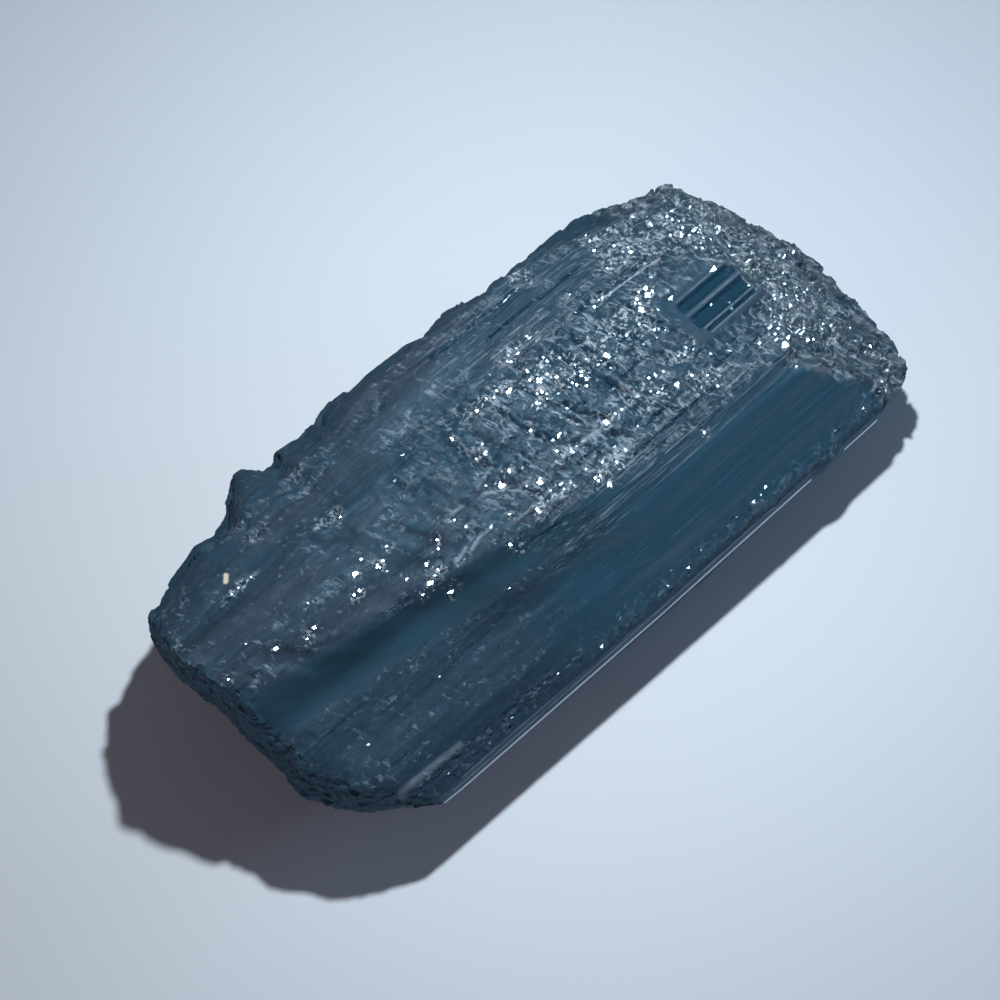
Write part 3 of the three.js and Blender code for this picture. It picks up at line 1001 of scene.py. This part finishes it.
# Painted highlight lines on the flute rims, beneath the flutes and on the front strip: start, end,
# width, which axes count
HIGHLIGHT_LINES = [
    ((-20.0, 0, 8.7), (15.8, 0, 9.0), 0.24, AHEAD),
    ((-19.0, 0, 9.4), (12.8, 0, 9.5), 0.16, AHEAD),
    ((14.5, 0.78, 0), (19.3, 0.78, 0), 0.20, ABOVE),
    ((14.5, -0.56, 0), (19.7, -0.56, 0), 0.24, ABOVE),
    ((14.7, -2.08, 0), (19.6, -2.08, 0), 0.20, ABOVE),
    ((14.9, -2.65, 0), (19.4, -2.6, 0), 0.20, ABOVE),
    ((19.7, -0.5, 0), (19.7, -2, 0), 0.20, ABOVE),
    ((11.0, 4.55, 0), (16.6, 4.5, 0), 0.22, ABOVE),
]

# A painted reflection of the lit table: the bright line under the narrow strip
PAINTED_REFLECTION_EDGE = [
    ((-21.2, 0, 7.75), (15.9, 0, 7.75), 0.50, AHEAD),
    ((19.8, 0, 7.75), (23.6, 0, 7.75), 0.50, AHEAD),
]

# A painted sheen streak near the front left corner, and the cream fleck near the left end of the crown
SHEEN_STREAK = ((-23.2, -11.5, 0), (-17.8, -11.7, 0), 0.60, ABOVE)
FLECK = [
    ((-23.05, 6.45, 0), (-22.75, 6.75, 0), 0.46, ABOVE),
    ((-22.85, 6.70, 0), (-22.75, 6.90, 0), 0.26, ABOVE),
]


def stone_finish():
    r = Recipe("black_tourmaline")
    calm, smooth, strip, ticks = map(r.zone, ("calm", "smooth", "strip", "ticks"))
    broken, lively, crown, mottled = map(r.zone, ("broken", "lively", "crown", "mottled"))
    striae, left_end, ridge_highlight, spark = map(r.zone, ("striae", "left_end", "ridge_highlight", "spark"))
    # The painted shade of the groove gets a frayed edge
    frayed = r.spread(r.noise((2.4, 0.7, 0.7), detail=5, rough=0.6), 0.34, 0.66, -0.45, 0.35)
    groove = r.zone("groove")
    groove = r.spread(r.math("ADD", groove, r.both(frayed, r.spread(groove, 0.0, 0.3))), 0.1, 0.9)
    still = r.either(calm, smooth, strip)
    restless = r.math("SUBTRACT", 1.0, still, clamp=True)
    plain = r.math("LESS_THAN", spark, 0.1)

    # Colour: blue-black, hazed to slate where the skin is etched, plum towards the back left, painted
    # shade in the groove and a painted cool shade on the left end
    haze = r.spread(r.noise((4.0, 1.4, 1.4), detail=4), 0.36, 0.66)
    tone = r.mix(r.both(haze, restless), r.mix(r.either(smooth, strip), INK, TEAL), SLATE)
    warm = r.spread(r.noise((14, 3, 3), detail=2), 0.46, 0.62, 0.0, 0.8)
    tone = r.mix(r.both(warm, r.both(crown, restless)), tone, PLUM)
    # Painted shade: the groove under the upper layer's edge
    tone = r.mix(r.both(groove, 0.85), tone, GROOVE_SHADE)
    # Painted shade: the left end tinted cool blue against the warm side lamp that falls on it
    tone = r.mix(r.both(left_end, 0.75), tone, LEFT_END_SHADE)
    tone = r.mix(r.both(broken, 0.85), tone, GREY)

    # Pale wisps: leaning ones on the crown, long ones along the prism, short ticks along the edge
    leaning = r.noise((0.42, 0.95, 0.95), detail=2, turn=(0, 0, 28), curl=0.3)
    steep = r.noise((0.34, 1.3, 1.3), detail=3, turn=(0, 0, 12), curl=0.6)
    long_strokes = r.noise((0.46, 2.6, 2.6), detail=3, turn=(0, 0, 20), curl=0.5)
    cloudy = r.noise((0.55, 0.45, 0.45), detail=3, rough=0.6, curl=0.4)
    lying = r.noise((2.2, 0.36, 0.36), detail=4, rough=0.6, curl=0.3)
    threads = r.noise((16, 0.15, 0.15), detail=2)
    patches = r.spread(r.noise((2.6, 1.2, 1.2), detail=3), 0.47, 0.60)
    gaps = r.spread(r.noise((1.5, 1.1, 1.1), detail=2, turn=(0, 0, 20)), 0.42, 0.54)
    clusters = r.blend(lively, patches, r.spread(gaps, 0, 1, 0.25, 1.0))
    clusters = r.blend(broken, clusters, r.spread(gaps, 0, 1, 0.35, 1.0))
    busy = r.math("ADD", r.both(crown, 0.60), r.both(lively, 0.60), clamp=True)
    busy = r.either(busy, broken, r.both(mottled, 0.62))
    dabs = r.either(r.spread(leaning, 0.58, 0.69), r.spread(cloudy, 0.60, 0.71))
    dabs = r.both(dabs, r.spread(lively, 0, 1, 1.0, 0.6))
    seams, plate = r.plates((0.90, 2.00, 1.4), (0, 0, 22), 0.11)
    seams = r.both(seams, r.spread(steep, 0.44, 0.54))
    dabs = r.either(dabs, r.both(seams, r.either(lively, broken)))
    dabs = r.both(dabs, r.spread(broken, 0, 1, 1.0, 0.6))
    dabs = r.either(dabs, r.both(r.spread(long_strokes, 0.55, 0.63), broken))
    wisps = r.both(r.both(busy, dabs), clusters)
    sides = r.math("ADD", r.both(mottled, 0.20), r.both(crown, 0.12))
    along = r.both(r.spread(lying, 0.54, 0.74), sides)
    fleece = r.either(wisps, r.both(along, r.blend(mottled, 0.8, patches)))
    faceted = r.either(r.both(lively, 0.9), r.both(broken, 0.6))
    dark_plate = r.both(r.spread(plate, 0.50, 0.54), faceted)
    tone = r.mix(dark_plate, tone, INK)
    fleece = r.both(fleece, r.spread(groove, 0, 1, 1.0, 0.40))
    fleece = r.either(fleece, r.both(r.spread(threads, 0.60, 0.72), r.both(smooth, 0.20)))
    grooves = r.noise((11, 0.20, 0.20), detail=3)
    fleece = r.either(fleece, r.both(r.spread(grooves, 0.54, 0.68), r.both(striae, 0.60)))
    tick = r.noise((0.50, 0.70, 0.45), detail=3, rough=0.6)
    fleece = r.either(fleece, r.both(r.spread(tick, 0.56, 0.72), r.both(ticks, 0.55)))
    tone = r.mix(fleece, tone, r.mix(r.either(lively, broken), BLOOM, PALE))
    # Painted highlight: pale specks round the glints, as halos of their light
    glint_specks = r.noise((0.36, 0.34, 0.34), detail=2, rough=0.6, turn=(0, 0, 20))
    glint_specks = r.both(r.spread(glint_specks, 0.56, 0.64), r.zone("near"))
    tone = r.mix(r.both(glint_specks, 0.8), tone, GLINT_HALO)
    # Painted reflection: the narrow strip lightened a little towards pale blue
    tone = r.mix(r.both(strip, 0.20), tone, BLOOM)

    # Painted highlights: pale lines on rims and edges, faded in patches by noise, with the painted sheen
    # streak and the pale along raised ridges
    lines = r.either(*(r.stroke(*line) for line in HIGHLIGHT_LINES))
    highlight_fade = r.spread(r.noise((1.4, 0.5, 0.5), detail=3), 0.38, 0.54, 0.35, 1.0)
    lines = r.both(r.both(lines, highlight_fade), r.either(strip, calm, crown))
    lines = r.either(lines, r.both(r.stroke(*SHEEN_STREAK), 0.35), r.both(r.both(ridge_highlight, highlight_fade), 0.6))
    tone = r.mix(lines, tone, PALE)
    # Painted reflection: the bright line along the foot of the narrow strip
    edge = r.both(r.either(*(r.stroke(*line) for line in PAINTED_REFLECTION_EDGE)), r.either(strip, ticks))
    tone = r.mix(edge, tone, REFLECTED_TABLE_TONE)
    fleck = r.either(*(r.stroke(*part) for part in FLECK))
    tone = r.mix(fleck, tone, CREAM)
    r.feed(r.shader.inputs["Base Color"], tone)

    # Fine relief: ribs along the prism, wisps, long slivers, then small flat facets
    rib_strength = r.both(plain, r.spread(restless, 0, 1, 0.10, 0.35))
    normal = r.bump(r.noise((7.0, 0.22, 0.22), detail=4, rough=0.6), 0.07, rib_strength)
    normal = r.bump(grooves, 0.10, r.both(plain, striae), normal)
    normal = r.bump(fleece, 0.08, r.both(plain, 0.6), normal)
    coarse = r.either(r.both(lively, 0.42), r.both(broken, 0.7), r.both(mottled, 0.12))
    rough_skin = r.both(restless, r.either(r.both(crown, 0.12), coarse))
    loud = r.both(rough_skin, plain)
    slivers, sliver_number = r.facets((1.1, 0.22, 0.22))
    grit, grit_number = r.facets((0.46, 0.30, 0.30), turn=(0, 0, 18))
    dust, dust_number = r.facets((0.22, 0.16, 0.16), turn=(10, 20, 15))
    normal = r.bump(slivers, 0.16, loud, normal)
    normal = r.bump(grit, 0.26, loud, normal)
    normal = r.bump(dust, 0.11, loud, normal)
    r.link(normal, r.shader.inputs["Normal"])

    # Gloss: matt etched skin, glassy flutes and furrows, facets from satin to mirror
    matt = r.spread(r.noise((3.0, 0.5, 0.5), detail=4), 0.35, 0.70, *ETCHED)
    matt = r.blend(r.either(groove, left_end), matt, DULL)
    gloss = r.blend(smooth, matt, SATIN)
    gloss = r.blend(r.spread(calm, 0.45, 0.55), gloss, GLASSY)
    share = r.spread(r.either(lively, r.both(broken, 0.9)), 0, 1, 0.80, 0.45)
    facet = r.either(grit_number, dust_number, sliver_number)
    bright = r.spread(facet, share, 1.0, *FACET_GLOSS)
    mirror = r.math("GREATER_THAN", facet, share)
    gloss = r.blend(r.both(mirror, rough_skin), gloss, bright)
    shine = r.spread(spark, *SPARK_SHINE, *GLINT_GLOSS)
    gloss = r.blend(r.math("GREATER_THAN", spark, 0.1), gloss, shine)
    gloss = r.blend(r.either(lines, edge), gloss, PAINTED_LINE_GLOSS)
    r.feed(r.shader.inputs["Roughness"], gloss)
    r.shader.inputs["IOR"].default_value = REFRACTION
    r.shader.inputs["Specular Tint"].default_value = TINT
    return r.material


# The table's two pale blue-grey tones
TABLE_TONES = ((0.60, 0.72, 0.84, 1), (0.64, 0.75, 0.86, 1))


def table_finish():
    r = Recipe("pale_table")
    shade = r.noise((60, 60, 60), detail=2)
    r.feed(r.shader.inputs["Base Color"], r.mix(shade, *TABLE_TONES))
    r.feed(r.shader.inputs["Roughness"], r.spread(shade, 0.3, 0.7, 0.55, 0.65))
    return r.material


# ---------------------------------------------------------------- table, light and camera

CAMERA_TURN = 42.3           # degrees that the view is turned from the stone's own front
CAMERA_RISE = 70.0           # degrees above the table
CAMERA_AIM = (-0.65, 3.0, 0)  # mm
CAMERA_AWAY = 152            # mm
CAMERA_LENS = 68.4           # on a 36 mm sensor
KEY_PLACE = (12, 7, 92)      # mm, a small lamp nearly overhead

# Lights: name, kind, place and size in mm, watts, colour
LIGHTS = [
    ("key", "POINT", KEY_PLACE, 1.8, 0.335, (1.0, 0.985, 0.96)),
    ("warm_bounce", "AREA", (-240, -40, 90), 120, 0.075, (1.0, 0.42, 0.34)),
    ("cool_bounce", "AREA", (240, -110, 90), 120, 0.12, (0.45, 0.75, 1.0)),
]
SKY_COLOUR = (0.66, 0.84, 1.0, 1)
SKY_STRENGTH = 0.085
TABLE_SIZE = 1.6    # m


def camera_place():
    turn, rise = math.radians(-CAMERA_TURN), math.radians(CAMERA_RISE)
    away = Vector((math.sin(turn) * math.cos(rise), -math.cos(turn) * math.cos(rise), math.sin(rise)))
    return (Vector(CAMERA_AIM) + away * CAMERA_AWAY) * MM


def make_camera():
    bpy.ops.object.camera_add()
    camera = bpy.context.object
    camera.data.sensor_width = 36
    camera.data.lens = CAMERA_LENS
    camera.data.clip_start = 0.01
    camera.location = camera_place()
    camera.rotation_euler = (math.radians(90 - CAMERA_RISE), 0, math.radians(-CAMERA_TURN))
    bpy.context.scene.camera = camera


def make_light(name, kind, place, size, power, colour):
    bpy.ops.object.light_add(type=kind)
    light = bpy.context.object
    light.name = name
    light.location = Vector(place) * MM
    light.rotation_euler = (-light.location).to_track_quat("-Z", "Y").to_euler()
    if kind == "AREA":
        light.data.shape = "DISK"
        light.data.size = size * MM
    else:
        light.data.shadow_soft_size = size * MM
    light.data.energy = power
    light.data.color = colour


def make_setting():
    bpy.ops.mesh.primitive_plane_add(size=TABLE_SIZE, location=(0, 0, 0))
    table = bpy.context.object
    table.name = "table"
    table.data.materials.append(table_finish())
    for light_row in LIGHTS:
        make_light(*light_row)
    world = bpy.data.worlds.new("studio")
    bpy.context.scene.world = world
    world.use_nodes = True
    sky = world.node_tree.nodes["Background"]
    sky.inputs["Color"].default_value = SKY_COLOUR
    sky.inputs["Strength"].default_value = SKY_STRENGTH
    bpy.context.scene.view_settings.view_transform = "Standard"


# ---------------------------------------------------------------- put together

stone = make_stone()
lay_relief(stone)
cut_features(stone)
for chip_row in CHIPS:
    chip(stone, *chip_row)
settle(stone)
mark_finish(stone)
set_sparks(stone)
stone.data.materials.append(stone_finish())
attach(stone, "root")
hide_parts(NODE)

make_setting()
make_camera()
